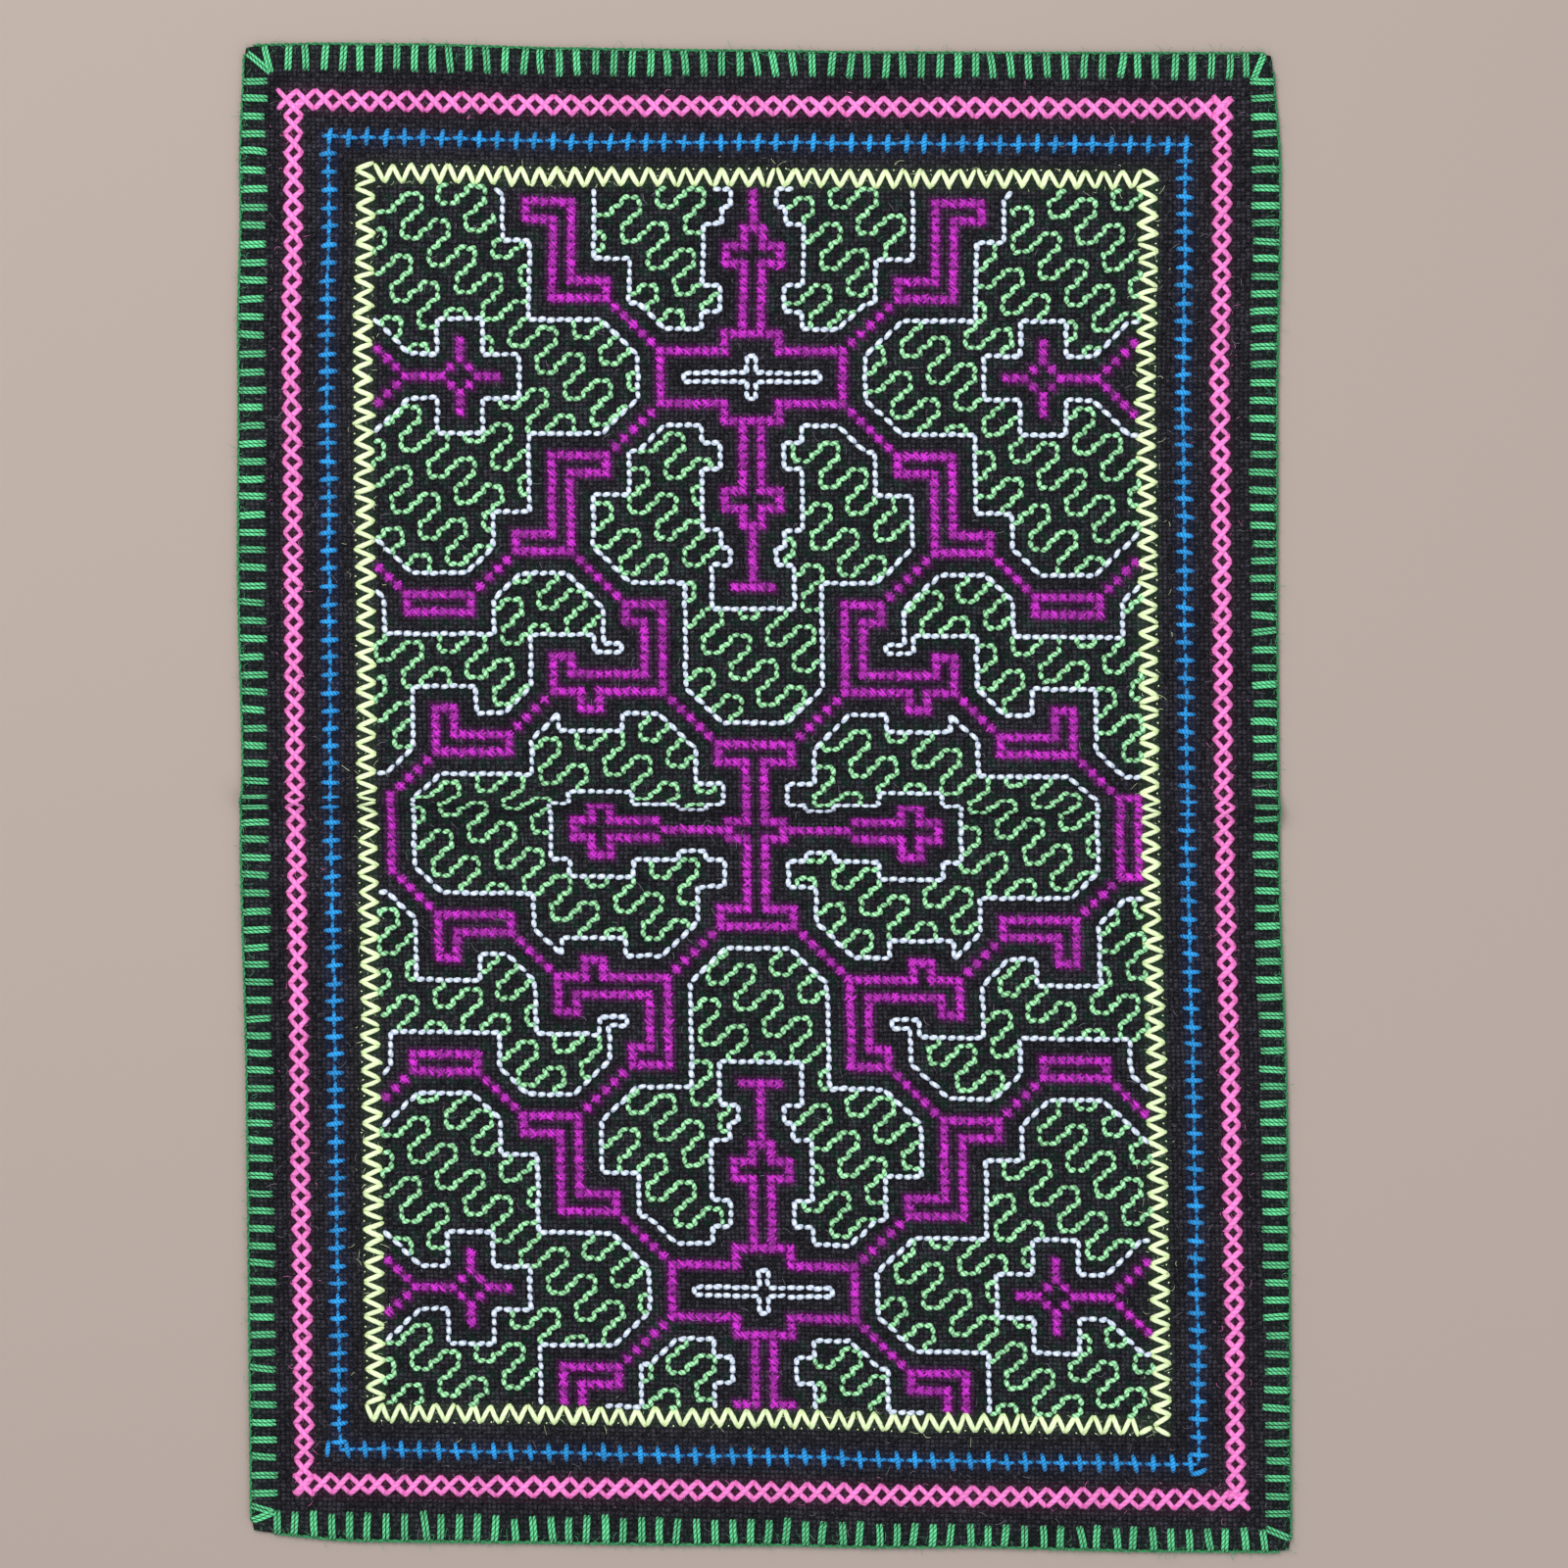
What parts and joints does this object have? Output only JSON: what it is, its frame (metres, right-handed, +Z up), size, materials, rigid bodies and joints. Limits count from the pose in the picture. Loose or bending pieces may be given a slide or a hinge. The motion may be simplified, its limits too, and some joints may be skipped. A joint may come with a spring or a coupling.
{
  "type": "embroidered altar cloth",
  "caption": "Rectangular black cloth laid flat with one standing crease, a stepped cross lattice in raised yarn, bordering rows of yarn and a green blanket-stitched rim.",
  "frame": {"origin": "under the middle of the cloth, on the surface that it lies on", "axes": "+Y along the long side towards the top edge of the picture, +X along the short side to the right, +Z up out of the embroidered face"},
  "size_m": [0.3562, 0.5096, 0.0103],
  "materials": {
    "black_cloth": "matt evenweave cotton, lightly fuzzed",
    "green_yarn": "two-ply yarn with a soft sheen",
    "pink_yarn": "soft matt yarn with a fine fuzz",
    "blue_yarn": "two-ply yarn, matt",
    "yellow_yarn": "soft matt yarn with a fine fuzz",
    "purple_yarn": "stranded thread with a silky sheen",
    "pale_blue_yarn": "plump matt yarn",
    "fill_yarn": "fine yarn with a soft sheen"
  },
  "bodies": {
    "root": {"cloth": "black_cloth", "edge_stitching": "green_yarn", "pink_row": "pink_yarn", "blue_row": "blue_yarn", "yellow_row": "yellow_yarn", "purple_lattice": "purple_yarn", "purple_cross_1": "purple_yarn", "purple_cross_2": "purple_yarn", "purple_cross_3": "purple_yarn", "purple_cross_4": "purple_yarn"}
  },
  "joints": []
}
